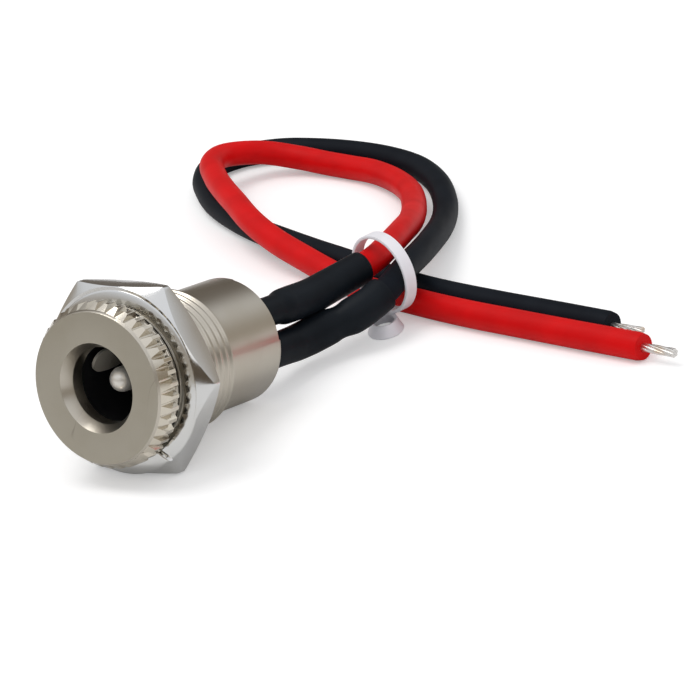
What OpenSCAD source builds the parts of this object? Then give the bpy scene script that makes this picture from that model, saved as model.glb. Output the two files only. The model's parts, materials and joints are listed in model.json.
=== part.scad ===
// Panel-mount DC barrel jack with two soldered leads, lying on a flat surface.
//
// The jack is a turned, nickel-plated housing with a knurled front flange, a fine-threaded
// barrel and a smooth rear skirt. A chamfered hex nut runs on the thread. Inside are a
// moulded insulator, the centre pin, the leaf contact for the plug's sleeve and two solder
// lugs, closed at the back by a moulded plug. A red and a black lead leave through shrink
// sleeves, make one loose loop and pass back under themselves through a tie.
//
// Frame: the origin is on the jack's axis, in the plane of the flange's rear face, +Z up.
// The jack is tilted nose-up, because it lies on the back edge of its nut and on the rim of
// its skirt. Jack places are written [right, up, along], with along = 0 at the flange's rear
// face and growing towards the leads. Places on the surface are [x, y, height over it].

/* [Front flange] */
// Diameter of the flange over the knurl
flange_d = 13.8; // [13:0.1:16]
// Thickness of the flange
flange_t = 2; // [1.6:0.1:3]
// Diameter of the flat front face, inside the bevel
face_d = 12.6; // [11:0.1:12.8]
// Depth of the bevel round the front face
face_bevel = 1.2; // [0.6:0.1:1.6]
// Number of straight knurl teeth
knurl_teeth = 42; // [24:1:48]
// Depth of a knurl tooth
knurl_depth = 0.4; // [0.2:0.05:0.6]

/* [Plug opening] */
// Diameter of the bore that guides the plug
plug_bore_d = 6.4; // [6:0.1:6.8]
// Diameter of the lead-in at the front face
mouth_d = 7.5; // [7:0.1:8.4]
// Depth of the lead-in
mouth_depth = 1; // [0.4:0.1:1.4]
// Thickness of the wall left behind the flange's rear face
throat_end = 0.2; // [0:0.05:0.6]

/* [Barrel] */
// Outside diameter of the thread
thread_d = 12; // [11.6:0.1:12.6]
// Length of the thread behind the flange
thread_len = 9.3; // [7:0.1:12]
// Outside diameter of the smooth skirt
skirt_d = 10.8; // [10.6:0.1:11.4]
// Length of the smooth skirt
skirt_len = 6.9; // [6.6:0.1:9]
// Inside diameter of the housing
cavity_d = 9.4; // [9.2:0.1:9.8]
// Radius on the outside of the rear rim
rim_round = 0.5; // [0.2:0.05:0.6]
// How far the rear rim is rolled in over the plug
rim_roll = 0.2; // [0.1:0.05:0.3]
// Depth of the step in the rear rim
rim_step = 0.45; // [0.2:0.05:0.6]

/* [Panel nut] */
// Width of the nut across its flats
nut_af = 15.5; // [14.6:0.1:18]
// Thickness of the nut
nut_t = 2.8; // [2.4:0.1:4]
// Diameter of the nut's flat front ring
nut_ring_d = 14.3; // [13.4:0.1:14.6]
// Gap between the flange and the nut
nut_gap = 0.8; // [0.1:0.05:3]
// Slope of the nut's front chamfer, from its face
nut_chamfer_angle = 48; // [25:1:50]
// Radial clearance between the nut and the thread
nut_clearance = 0.06; // [0.02:0.01:0.1]

/* [Insulator] */
// Diameter of the well that the plug enters
well_d = 7.3; // [7.1:0.1:7.8]
// Depth of the well's floor behind the flange's rear face
well_depth = 9; // [8:0.1:10]
// Thickness of the well's floor
floor_t = 1.6; // [1:0.1:2]
// Clearance between a moulding and the housing
mould_clearance = 0.05; // [0.02:0.01:0.1]
// Thickness of the rear plug's disc
plug_t = 2.4; // [1.6:0.1:2.8]

/* [Contacts] */
// Diameter of the centre pin
pin_d = 2.1; // [2:0.1:2.5]
// Distance of the pin's tip behind the flange's rear face
pin_tip = 0.4; // [0.3:0.1:3]
// Diameter of the pin's riveted tail
tail_d = 1.4; // [1:0.1:1.6]
// Thickness of the terminals' sheet
sheet_t = 0.4; // [0.3:0.05:0.5]
// Width of a solder lug
lug_w = 1.6; // [1.2:0.1:1.8]
// Thickness of the leaf contact
leaf_t = 0.25; // [0.2:0.05:0.35]
// Width of the leaf contact
leaf_w = 2.2; // [1.6:0.1:2.4]

/* [Leads] */
// Outside diameter of a lead
wire_d = 2.4; // [2:0.1:2.4]
// Diameter of a lead's tinned core
core_d = 0.8; // [0.5:0.05:1]
// Wall of a shrink sleeve
sleeve_wall = 0.2; // [0.15:0.05:0.35]
// Length of a lead's bared outer end
bare_len = 3.4; // [2:0.1:6]

/* [Tie] */
// Width of the tie's band
band_w = 1.2; // [1:0.1:1.6]
// Thickness of the tie's band
band_t = 0.3; // [0.2:0.05:0.35]

/* [Hidden] */
$fn = 64;

eps = 0.01;             // overlap of solids that are fused or cut
seat_gap = 0.05;        // gap between faces that seat on each other

// Colours
nickel = [0.68, 0.66, 0.62];
bright_nickel = [0.78, 0.77, 0.74];
moulding = [0.05, 0.05, 0.06];
tinned = [0.76, 0.76, 0.76];
lead_red = [0.78, 0.05, 0.04];
lead_black = [0.05, 0.05, 0.07];
band_white = [0.88, 0.87, 0.9];

// Rest on the surface: the nut's rear edge and the rounded rim of the skirt both touch it
rear_end = thread_len + skirt_len;
nut_back = nut_gap + nut_t;
drop = nut_af / 2 - (skirt_d / 2 - rim_round);
run = rear_end - rim_round - nut_back;
rest_tilt = acos(rim_round / norm([drop, run])) - atan2(run, drop);
axis_height = nut_af / 2 * cos(rest_tilt) + nut_back * sin(rest_tilt);

// Depths along the jack's axis
insulator_front = throat_end + seat_gap;
insulator_end = well_depth + floor_t;
plug_end = rear_end - rim_step - seat_gap;
plug_front = plug_end - plug_t;
ring_front = insulator_end + seat_gap;
boss_end = ring_front + sheet_t + 0.35;
washer_front = boss_end + seat_gap;
rivet_front = washer_front + sheet_t;

// Contact layout: [right, up] of each lead's core where it leaves the jack
red_exit = [1.9, 2];
black_exit = [2.4, -1.45];
leaf_angle = 152;       // place of the leaf contact, anticlockwise from the right
lug_tail = 3.6;         // length of the lugs behind the rear rim
core_start = rear_end + 0.8;
wire_start = rear_end + 5;

// Places on the surface, height over it last
red_run = [[2.2, 24.8, 5.8], [2.5, 27.2, 5.7], [2.9, 29.2, 5.7], [3.4, 31.2, 5.7],
           [3.3, 33.6, 5.6], [2.2, 37.2, 5.2], [0.2, 42.2, 4.4], [-2.3, 47.3, 3.3],
           [-5.7, 52.8, 2.3], [-9.4, 57.6, 1.7], [-13.4, 61, 1.4], [-17.3, 63.1, 1.3],
           [-21, 64.2, 1.2], [-24.4, 64.8, 1.3], [-27.6, 64.9, 1.7], [-31.2, 63.6, 2.6],
           [-33.2, 60.5, 3.4], [-32.3, 57.2, 3.8], [-29.6, 54, 3.8], [-26.4, 51, 3.8],
           [-22.8, 48, 3.7], [-19.3, 45.2, 3.4], [-16.6, 43.5, 3], [-13.8, 42.1, 2.5],
           [-9.8, 40.4, 1.9], [-6.4, 38.9, 1.5], [-2.4, 37.1, 1.2], [1.4, 35.7, 1.2],
           [4.8, 34.8, 1.2], [9.2, 33.6, 1.2], [13.4, 32.6, 1.2], [18.4, 31.6, 1.2],
           [23.4, 30.6, 1.2], [32.3, 28.9, 1.2]];
black_run = [[2.7, 23, 2.6], [3.6, 24.8, 2.8], [4.8, 26.3, 3.1], [5.8, 27.8, 3.6],
             [6.4, 29.6, 4.1], [6.2, 32.2, 4.4], [5.2, 35.4, 4.2], [3.5, 40.1, 3.5],
             [1.3, 45.2, 2.6], [-0.8, 49.6, 1.8], [-3, 53.7, 1.3], [-5.4, 57.4, 1.2],
             [-9, 61.6, 1.2], [-13.4, 65, 1.2], [-18.2, 67, 1.2], [-22.9, 68, 1.2],
             [-27.7, 68.3, 1.2], [-32, 67.8, 1.2], [-35.5, 65.7, 1.2], [-36.7, 62.4, 1.2],
             [-35.2, 59, 1.2], [-32.6, 56, 1.2], [-29.3, 53, 1.2], [-24.8, 50, 1.2],
             [-20.4, 47.6, 1.2], [-15.8, 45.6, 1.2], [-10.9, 43.6, 1.2], [-6.2, 41.8, 1.2],
             [-0.8, 39.5, 1.2], [4.6, 37.5, 1.2], [8.6, 36.4, 1.2], [14.6, 35.1, 1.2],
             [21.3, 33.8, 1.2], [27.2, 32.6, 1.2]];
red_sleeve_points = 4;    // points of a lead's run that its shrink sleeve covers
black_sleeve_points = 5;

// The tie: an upright ring round the leads, carried by a flat eye that stands on the surface
tie_centre = [4.7, 32.5];
tie_heading = -16;      // direction of the ring's width
tie_inner_d = 6.7;
eye_centre = [5.2, 30.5];
eye_heading = 32;
eye_inner_w = 2.4;
eye_inner_l = 3;

// ---- Frames -------------------------------------------------------------------------

// Puts a solid drawn along +Z, with +X right and -Y up, into the resting jack's place
module in_jack() {
    rotate([-(90 + rest_tilt), 0, 0]) children();
}

// Lowers a solid drawn over z = 0 to the surface that the jack lies on
module on_surface() {
    translate([0, 0, -axis_height]) children();
}

// [right, up, along] of the jack as a place over the surface
function over_surface(p) =
    [p[0],
     p[2] * cos(rest_tilt) + p[1] * sin(rest_tilt),
     axis_height - p[2] * sin(rest_tilt) + p[1] * cos(rest_tilt)];

// Angle of an exit about the jack's axis, in the drawing frame
function exit_angle(e) = -atan2(e[1], e[0]);

// ---- Swept tubes --------------------------------------------------------------------

tube_sides = 8;
sleeve_sides = 12;

function unit(v) = v / norm(v);
function heading(path, i) =
    unit(path[min(i + 1, len(path) - 1)] - path[max(i - 1, 0)]);
function ring(centre, along, r, sides) =
    let (side = unit(cross(along, [0, 0, 1])), up = cross(side, along))
    [for (k = [0:sides - 1])
        centre + r * (cos(360 * k / sides) * side + sin(360 * k / sides) * up)];
function rings(path, radii, sides) =
    [for (i = [0:len(path) - 1]) each ring(path[i], heading(path, i), radii[i], sides)];
function wall_faces(first, count, sides) =
    [for (i = [0:count - 2], k = [0:sides - 1])
        let (a = first + i * sides + k, b = first + i * sides + (k + 1) % sides)
        [a, b, b + sides, a + sides]];

// Solid round cord along a path
module cord(path, r) {
    count = len(path);
    last = (count - 1) * tube_sides;
    polyhedron(
        rings(path, [for (p = path) r], tube_sides),
        concat([for (f = wall_faces(0, count, tube_sides)) [f[3], f[2], f[1], f[0]]],
               [[for (k = [0:tube_sides - 1]) k]],
               [[for (k = [tube_sides - 1:-1:0]) last + k]]));
}

// Hollow sleeve along a path, with its own outer radius at each point
module sleeve_tube(path, inner_r, outer_radii) {
    count = len(path);
    inner = count * sleeve_sides;
    last = (count - 1) * sleeve_sides;
    polyhedron(
        concat(rings(path, outer_radii, sleeve_sides),
               rings(path, [for (p = path) inner_r], sleeve_sides)),
        concat([for (f = wall_faces(0, count, sleeve_sides)) [f[3], f[2], f[1], f[0]]],
               wall_faces(inner, count, sleeve_sides),
               [for (k = [0:sleeve_sides - 1])
                   let (n = (k + 1) % sleeve_sides) [k, n, inner + n, inner + k]],
               [for (k = [0:sleeve_sides - 1])
                   let (n = (k + 1) % sleeve_sides)
                   [last + n, last + k, inner + last + k, inner + last + n]]));
}

// ---- Housing ------------------------------------------------------------------------

// Straight V teeth, cut flat at the flange's diameter by the blank they are rolled on
module knurl_outline() {
    tip_r = flange_d / 2 + knurl_depth / 4;
    root_r = flange_d / 2 - knurl_depth;
    step = 360 / knurl_teeth;
    polygon([for (i = [0:knurl_teeth - 1], half = [0, 1])
        let (a = (i + half / 2) * step, r = half == 0 ? tip_r : root_r)
        r * [cos(a), sin(a)]]);
}

module flange() {
    intersection() {
        translate([0, 0, -flange_t]) linear_extrude(flange_t) knurl_outline();
        rotate_extrude() polygon([
            [0, -flange_t - eps], [face_d / 2 - eps, -flange_t - eps],
            [flange_d / 2, -flange_t + face_bevel], [flange_d / 2, eps], [0, eps]]);
    }
}

module barrel() {
    chamfer = 0.3;
    rotate_extrude() difference() {
        union() {
            translate([0, -flange_t / 2]) square([thread_d / 2 - chamfer, flange_t / 2 + thread_len]);
            polygon([[0, -flange_t / 2], [thread_d / 2, -flange_t / 2],
                     [thread_d / 2, thread_len - chamfer],
                     [thread_d / 2 - chamfer, thread_len], [0, thread_len]]);
            square([skirt_d / 2, rear_end - rim_round]);
            square([skirt_d / 2 - rim_round, rear_end]);
            translate([skirt_d / 2 - rim_round, rear_end - rim_round]) circle(rim_round);
        }
        translate([-skirt_d, -flange_t]) square([skirt_d, rear_end + 2 * flange_t]);
    }
}

// Lead-in, plug bore and the cavity behind the front wall, closed in at the rolled rim
module housing_bore() {
    rotate_extrude() polygon([
        [0, -flange_t - eps],
        [mouth_d / 2 + eps * (mouth_d - plug_bore_d) / 2 / mouth_depth, -flange_t - eps],
        [plug_bore_d / 2, -flange_t + mouth_depth],
        [plug_bore_d / 2, throat_end],
        [cavity_d / 2, throat_end],
        [cavity_d / 2, rear_end - rim_step],
        [cavity_d / 2 - rim_roll, rear_end - rim_step],
        [cavity_d / 2 - rim_roll, rear_end + eps],
        [0, rear_end + eps]]);
}

// The rim is lower over the upper right, from just above the side to near the top
module rim_cut() {
    reach = skirt_d;
    translate([0, 0, rear_end - rim_step])
        linear_extrude(rim_step + eps)
            polygon([[0, 0], for (a = [4, 40, 80]) reach * [cos(a), -sin(a)]]);
}

module housing() {
    color(nickel) in_jack() difference() {
        union() {
            flange();
            barrel();
        }
        housing_bore();
        rim_cut();
    }
}

// ---- Panel nut ----------------------------------------------------------------------

module panel_nut() {
    corner_r = nut_af / 2 / cos(30);
    ring_r = nut_ring_d / 2;
    lip = 0.15;             // width and
    lip_depth = 0.2;        // depth of the ring's bevelled edge
    ledge = 0.2;
    cone_start = lip_depth + 0.05;
    blank_r = corner_r + 0.2;
    start_r = ring_r + lip + ledge;
    slope = tan(nut_chamfer_angle);
    color(bright_nickel) in_jack() translate([0, 0, nut_gap]) difference() {
        intersection() {
            cylinder(h = nut_t, r = corner_r, $fn = 6);
            rotate_extrude() polygon([
                [0, -eps], [ring_r, -eps], [ring_r + lip, lip_depth], [start_r, cone_start],
                [blank_r, cone_start + (blank_r - start_r) * slope],
                [blank_r, max(nut_t, cone_start + (blank_r - start_r) * slope) + eps],
                [0, nut_t + eps]]);
        }
        translate([0, 0, -1]) cylinder(h = nut_t + 2, r = thread_d / 2 + nut_clearance);
    }
}

// ---- Mouldings ----------------------------------------------------------------------

boss_r = 1.95;          // insulating boss through the ring of the sleeve contact
// Inner face of the leaf's root, to a hundredth: its outer corners clear the well's wall
leaf_root_r =
    floor(100 * (sqrt(pow(well_d / 2 - seat_gap, 2) - pow(leaf_w / 2, 2)) - leaf_t)) / 100;

// Window in the well's floor for the leaf, drawn at the leaf's angle
module leaf_window() {
    window_gap = 0.1;
    rotate([0, 0, -leaf_angle])
        translate([leaf_root_r - window_gap, -leaf_w / 2 - window_gap, well_depth - eps])
            cube([leaf_t + 2 * window_gap, leaf_w + 2 * window_gap, floor_t + 2 * eps]);
}

module insulator_body() {
    color(moulding) in_jack() difference() {
        union() {
            translate([0, 0, insulator_front])
                cylinder(h = insulator_end - insulator_front, r = cavity_d / 2 - mould_clearance);
            cylinder(h = boss_end, r = boss_r);
        }
        translate([0, 0, -1]) cylinder(h = well_depth + 1, r = well_d / 2);
        cylinder(h = boss_end + 1, r = tail_d / 2 + mould_clearance);
        leaf_window();
    }
}

// Slot through the rear plug for one lug and the core beside it
module lug_slot(e) {
    rotate([0, 0, exit_angle(e)])
        translate([norm(e) - core_d, -lug_w / 2 - 0.1, plug_front - eps])
            cube([core_d * 1.5 + sheet_t + 0.25, lug_w + 0.2, plug_t + 2 * eps]);
}

// Closing plug: a disc with a skirt that seats on the insulator
module rear_plug() {
    plug_r = cavity_d / 2 - mould_clearance;
    skirt_wall = 0.45;
    color(moulding) in_jack() difference() {
        translate([0, 0, insulator_end + seat_gap])
            cylinder(h = plug_end - insulator_end - seat_gap, r = plug_r);
        translate([0, 0, insulator_end])
            cylinder(h = plug_front - insulator_end, r = plug_r - skirt_wall);
        lug_slot(red_exit);
        lug_slot(black_exit);
    }
}

// ---- Contacts -----------------------------------------------------------------------

module centre_pin() {
    pin_r = pin_d / 2;
    collar_r = pin_r + 0.5;
    collar_t = 0.4;
    rivet_r = tail_d / 2 + 0.7;
    rivet_t = 0.4;
    color(bright_nickel) in_jack() union() {
        translate([0, 0, pin_tip + pin_r]) sphere(pin_r);
        translate([0, 0, pin_tip + pin_r]) cylinder(h = well_depth - pin_tip - pin_r, r = pin_r);
        translate([0, 0, well_depth - collar_t]) cylinder(h = collar_t, r = collar_r);
        translate([0, 0, well_depth - collar_t])
            cylinder(h = rivet_front + rivet_t - well_depth + collar_t, r = tail_d / 2);
        translate([0, 0, rivet_front]) cylinder(h = rivet_t, r = rivet_r);
    }
}

// Lug along the outer side of a lead's core, with a round end
module lug(e, front, inner_r) {
    face_r = norm(e) + core_d / 2 + seat_gap;
    back = rear_end + lug_tail;
    rotate([0, 0, exit_angle(e)]) {
        translate([face_r, 0, 0]) rotate([0, 90, 0]) linear_extrude(sheet_t) union() {
            translate([-back + lug_w / 2, -lug_w / 2]) square([back - lug_w / 2 - front, lug_w]);
            translate([-back + lug_w / 2, 0]) circle(lug_w / 2);
        }
        translate([inner_r, -lug_w / 2, front])
            cube([face_r + sheet_t - inner_r, lug_w, sheet_t]);
    }
}

// Washer riveted on the pin's tail, bent up into the lug
module centre_terminal() {
    washer_r = tail_d / 2 + 1;
    color(tinned) in_jack() difference() {
        union() {
            translate([0, 0, washer_front]) cylinder(h = sheet_t, r = washer_r);
            lug(red_exit, washer_front, washer_r / 2);
        }
        translate([0, 0, washer_front - 1]) cylinder(h = sheet_t + 2, r = tail_d / 2 + 0.02);
    }
}

// Side view of the leaf, as [distance from the axis, along]: it bows in towards the plug
function leaf_line() =
    [[leaf_root_r, ring_front + sheet_t], [leaf_root_r, well_depth - 1.4],
     [leaf_root_r - 0.6, 4.2], [leaf_root_r - 0.65, 3], [leaf_root_r - 0.45, 1]];

module leaf() {
    line = leaf_line();
    tip_along = line[len(line) - 1][1];
    intersection() {
        rotate([90, 0, 0]) translate([0, 0, -leaf_w]) linear_extrude(2 * leaf_w)
            polygon(concat(line, [for (i = [len(line) - 1:-1:0]) line[i] + [leaf_t, 0]]));
        rotate([0, 90, 0]) linear_extrude(well_d) union() {
            translate([-ring_front - sheet_t, -leaf_w / 2])
                square([ring_front + sheet_t - tip_along - leaf_w / 2, leaf_w]);
            translate([-tip_along - leaf_w / 2, 0]) circle(leaf_w / 2);
        }
    }
}

// One stamping: a ring behind the insulator, the leaf in the well and the lug
module sleeve_contact() {
    ring_r = cavity_d / 2 - 0.85;
    hole_r = boss_r + 0.1;
    color(tinned) in_jack() union() {
        translate([0, 0, ring_front]) difference() {
            cylinder(h = sheet_t, r = ring_r);
            translate([0, 0, -1]) cylinder(h = sheet_t + 2, r = hole_r);
        }
        rotate([0, 0, -leaf_angle]) leaf();
        lug(black_exit, ring_front, hole_r + 0.3);
    }
}

// ---- Leads --------------------------------------------------------------------------

// The insulation leaves along the jack's axis and then follows the lead's run
lead_straight = 0.8;
function lead_path(e, run) =
    concat([for (s = [0, lead_straight]) over_surface([e[0], e[1], wire_start + s])], run);

// Length of core from the lug to the insulation
module joint_core(e) {
    in_jack() translate([e[0], -e[1], core_start])
        cylinder(h = wire_start - core_start - eps, r = core_d / 2);
}

// Fillet of solder round the core, wetting the lug
module solder(e) {
    solder_len = 2.2;
    solder_r = 0.7;
    start = rear_end + 1.1;
    in_jack() difference() {
        translate([e[0], -e[1], start])
            rotate_extrude() polygon([
                for (k = [0:8]) let (a = 180 * k / 8)
                    [core_d / 2 + (solder_r - core_d / 2) * sin(a), solder_len * k / 8],
                [0, solder_len], [0, 0]]);
        joint_gap = eps;
        translate([e[0], -e[1], start - 1])
            cylinder(h = solder_len + 2, r = core_d / 2 + joint_gap);
        rotate([0, 0, exit_angle(e)])
            translate([norm(e) + core_d / 2 + seat_gap - joint_gap, -lug_w, start - 1])
                cube([wire_d, 2 * lug_w, solder_len + 2]);
    }
}

// Shrink sleeve from just behind the rear rim, swollen over the joint, along the lead
module shrink_sleeve(e, run, points, swell) {
    inner_r = wire_d / 2 + seat_gap + 0.03;
    tight_r = inner_r + sleeve_wall;
    starts = [0.4, 1.4, 2.6];
    lead = lead_path(e, run);
    path = concat(
        [for (s = starts) over_surface([e[0], e[1], rear_end + s])],
        [for (i = [0:points + 1]) lead[i]]);
    radii = [for (i = [0:len(path) - 1])
        i == 0 ? tight_r : i < len(path) - 2 ? tight_r + swell : tight_r + swell / 2];
    on_surface() sleeve_tube(path, inner_r, radii);
}

// Heading of a lead's last stretch, in degrees
function end_heading(run) =
    let (d = run[len(run) - 1] - run[len(run) - 2]) atan2(d[1], d[0]);

// Bared strands at the outer end of a lead, each [turn, sideways shift]
module bare_end(run, strands, d) {
    on_surface() translate(run[len(run) - 1])
        for (s = strands)
            rotate([0, 90, end_heading(run) + s[0]]) translate([0, s[1], 0])
                cylinder(h = bare_len, d = d);
}

module red_wire() {
    color(lead_red) on_surface() cord(lead_path(red_exit, red_run), wire_d / 2);
}

module black_wire() {
    color(lead_black) on_surface() cord(lead_path(black_exit, black_run), wire_d / 2);
}

module red_joint_core() { color(tinned) joint_core(red_exit); }
module black_joint_core() { color(tinned) joint_core(black_exit); }
module red_solder() { color(tinned) solder(red_exit); }
module black_solder() { color(tinned) solder(black_exit); }
module red_sleeve() { color(lead_black) shrink_sleeve(red_exit, red_run, red_sleeve_points, 0.06); }
module black_sleeve() {
    color(lead_black) shrink_sleeve(black_exit, black_run, black_sleeve_points, 0.12);
}
module red_bare_end() { color(tinned) bare_end(red_run, [[0, 0]], core_d); }
module black_bare_end() {
    color(tinned) bare_end(black_run, [[3, 0.25], [-8, -0.15]], core_d * 0.7);
}

// ---- Tie ----------------------------------------------------------------------------

// Outline with two round ends, as wide as w and as long as l
module slot_outline(w, l) {
    for (end = [-1, 1]) translate([0, end * (l - w) / 2]) circle(w / 2);
    square([w, l - w], center = true);
}

// The ring's bottom sinks half its thickness into the top edge of the eye
module wire_tie() {
    ring_bottom = band_w - band_t / 2;
    color(band_white) on_surface() {
        translate([tie_centre[0], tie_centre[1], ring_bottom + band_t + tie_inner_d / 2])
            rotate([90, 0, tie_heading]) translate([0, 0, -band_w / 2])
                linear_extrude(band_w) difference() {
                    circle(tie_inner_d / 2 + band_t);
                    circle(tie_inner_d / 2);
                }
        translate([eye_centre[0], eye_centre[1], 0]) rotate([0, 0, eye_heading])
            linear_extrude(band_w) difference() {
                slot_outline(eye_inner_w + 2 * band_t, eye_inner_l + 2 * band_t);
                slot_outline(eye_inner_w, eye_inner_l);
            }
    }
}

housing();
panel_nut();
insulator_body();
centre_pin();
sleeve_contact();
centre_terminal();
rear_plug();
red_joint_core();
black_joint_core();
red_solder();
black_solder();
red_sleeve();
black_sleeve();
red_wire();
black_wire();
red_bare_end();
black_bare_end();
wire_tie();
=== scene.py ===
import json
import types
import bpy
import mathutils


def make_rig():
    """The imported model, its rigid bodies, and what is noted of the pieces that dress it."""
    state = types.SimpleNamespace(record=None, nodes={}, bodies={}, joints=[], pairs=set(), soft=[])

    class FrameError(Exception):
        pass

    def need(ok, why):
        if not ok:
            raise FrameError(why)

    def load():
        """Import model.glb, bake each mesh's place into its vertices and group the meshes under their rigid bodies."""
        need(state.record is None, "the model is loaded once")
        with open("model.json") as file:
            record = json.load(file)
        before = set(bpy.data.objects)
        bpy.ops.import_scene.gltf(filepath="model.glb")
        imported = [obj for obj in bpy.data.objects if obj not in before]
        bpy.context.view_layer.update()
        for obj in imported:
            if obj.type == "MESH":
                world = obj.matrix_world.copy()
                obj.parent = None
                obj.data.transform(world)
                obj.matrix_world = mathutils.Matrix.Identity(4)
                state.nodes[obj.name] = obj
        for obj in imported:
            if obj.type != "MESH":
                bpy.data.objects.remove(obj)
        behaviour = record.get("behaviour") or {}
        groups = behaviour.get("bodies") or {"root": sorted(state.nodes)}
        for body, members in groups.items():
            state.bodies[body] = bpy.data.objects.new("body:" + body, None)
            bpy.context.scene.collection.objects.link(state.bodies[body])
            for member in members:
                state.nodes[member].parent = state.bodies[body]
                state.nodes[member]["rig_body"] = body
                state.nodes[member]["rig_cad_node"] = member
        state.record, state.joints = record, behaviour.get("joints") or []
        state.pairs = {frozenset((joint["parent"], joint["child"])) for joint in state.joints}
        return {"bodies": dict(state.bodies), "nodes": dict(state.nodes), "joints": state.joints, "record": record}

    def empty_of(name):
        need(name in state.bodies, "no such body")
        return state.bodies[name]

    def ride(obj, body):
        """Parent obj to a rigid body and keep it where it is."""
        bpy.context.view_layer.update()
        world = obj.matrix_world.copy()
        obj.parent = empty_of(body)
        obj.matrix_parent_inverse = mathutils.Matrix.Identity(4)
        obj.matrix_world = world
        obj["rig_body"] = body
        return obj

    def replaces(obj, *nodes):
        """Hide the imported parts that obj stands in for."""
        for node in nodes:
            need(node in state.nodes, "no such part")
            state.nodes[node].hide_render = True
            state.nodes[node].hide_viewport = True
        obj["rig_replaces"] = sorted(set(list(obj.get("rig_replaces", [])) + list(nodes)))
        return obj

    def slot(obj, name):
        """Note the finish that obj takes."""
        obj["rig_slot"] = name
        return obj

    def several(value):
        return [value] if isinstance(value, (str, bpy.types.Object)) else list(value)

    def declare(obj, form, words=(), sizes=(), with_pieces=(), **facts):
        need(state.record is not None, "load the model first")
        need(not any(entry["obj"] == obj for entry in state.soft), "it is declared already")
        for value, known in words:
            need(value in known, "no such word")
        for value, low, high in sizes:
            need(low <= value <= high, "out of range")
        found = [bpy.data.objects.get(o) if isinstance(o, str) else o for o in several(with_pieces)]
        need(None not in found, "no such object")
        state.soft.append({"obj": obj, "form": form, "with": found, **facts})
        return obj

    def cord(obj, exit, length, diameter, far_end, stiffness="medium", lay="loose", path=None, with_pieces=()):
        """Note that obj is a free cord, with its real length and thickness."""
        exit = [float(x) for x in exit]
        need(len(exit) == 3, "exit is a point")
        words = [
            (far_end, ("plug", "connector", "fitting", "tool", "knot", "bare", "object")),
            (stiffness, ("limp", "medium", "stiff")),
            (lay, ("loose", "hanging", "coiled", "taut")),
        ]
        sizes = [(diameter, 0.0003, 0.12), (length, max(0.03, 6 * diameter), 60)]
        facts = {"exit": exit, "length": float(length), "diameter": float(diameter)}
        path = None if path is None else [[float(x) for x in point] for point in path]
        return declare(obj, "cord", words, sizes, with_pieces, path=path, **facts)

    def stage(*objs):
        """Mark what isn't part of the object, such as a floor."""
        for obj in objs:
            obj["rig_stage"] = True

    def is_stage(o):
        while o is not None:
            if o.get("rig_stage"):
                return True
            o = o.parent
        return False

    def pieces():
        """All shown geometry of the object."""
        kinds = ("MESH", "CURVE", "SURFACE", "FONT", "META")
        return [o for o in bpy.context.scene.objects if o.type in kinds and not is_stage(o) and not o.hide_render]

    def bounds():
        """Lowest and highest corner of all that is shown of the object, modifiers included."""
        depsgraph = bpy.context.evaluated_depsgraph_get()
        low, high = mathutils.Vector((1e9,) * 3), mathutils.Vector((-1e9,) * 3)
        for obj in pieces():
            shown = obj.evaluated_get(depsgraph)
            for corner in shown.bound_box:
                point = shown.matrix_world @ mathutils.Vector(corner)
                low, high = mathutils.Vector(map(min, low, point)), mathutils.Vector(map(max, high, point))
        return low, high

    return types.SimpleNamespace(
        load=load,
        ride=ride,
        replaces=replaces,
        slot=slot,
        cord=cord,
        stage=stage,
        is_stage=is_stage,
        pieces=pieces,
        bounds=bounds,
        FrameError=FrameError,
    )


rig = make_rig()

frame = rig.load()
cad_low, cad_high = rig.bounds()

import json
import math

import bpy
import numpy as np
from mathutils import Matrix, Vector

MM = 0.001
nodes_by_name = frame["nodes"]
print(len(nodes_by_name), "CAD nodes, floor at", round(cad_low.z / MM, 2), "mm")

# %% [markdown]
# ## Where the jack points
#
# The jack lies on the edge of its nut and the rim of its skirt, so its axis is tilted. The
# record's panel mount holds that axis. Turned pieces are drawn upright, with Z along the
# jack, X to the right and Y downwards, and one matrix lays them down.
# %% The jack's own frame
mounts = {m["name"]: m for m in frame["record"]["mounts"]}
jack_axis = Vector(mounts["panel_mount"]["axis"]).normalized()
tilt = math.asin(-jack_axis.z)
jack_up = Vector((0, math.sin(tilt), math.cos(tilt)))
lay_down = Matrix.Rotation(-(math.pi / 2 + tilt), 3, "X")
turn = np.array(lay_down)
floor_z = cad_low.z
print("tilt", round(math.degrees(tilt), 2), "degrees")

# %% [markdown]
# ## The camera
#
# A long lens from a little above shows the plug opening and the side of the barrel at once,
# with little perspective. A camera looks along its own -Z, so its matrix is built from the
# directions right, up and back. Two angles give the side it stands on and how high, and the
# third rolls it a little about its view.
# %% Place the camera
camera_data = bpy.data.cameras.new("camera")
camera_data.lens = 180
camera_data.sensor_width = 36
camera_data.clip_start = 0.01
camera_data.clip_end = 20
camera = bpy.data.objects.new("camera", camera_data)
bpy.context.collection.objects.link(camera)
azimuth, elevation, roll = (math.radians(a) for a in (37.898, 21.407, -11.096))
camera_back = Vector((math.sin(azimuth) * math.cos(elevation),
                      -math.cos(azimuth) * math.cos(elevation), math.sin(elevation)))
level_right = Vector((math.cos(azimuth), math.sin(azimuth), 0))
level_up = camera_back.cross(level_right)
camera_right = level_right * math.cos(roll) + level_up * math.sin(roll)
camera_up = level_up * math.cos(roll) - level_right * math.sin(roll)
camera.matrix_world = Matrix.Translation(Vector((177.57, -196.44, 102.35)) * MM) @ Matrix(
    (camera_right, camera_up, camera_back)).transposed().to_4x4()
bpy.context.scene.camera = camera

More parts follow.
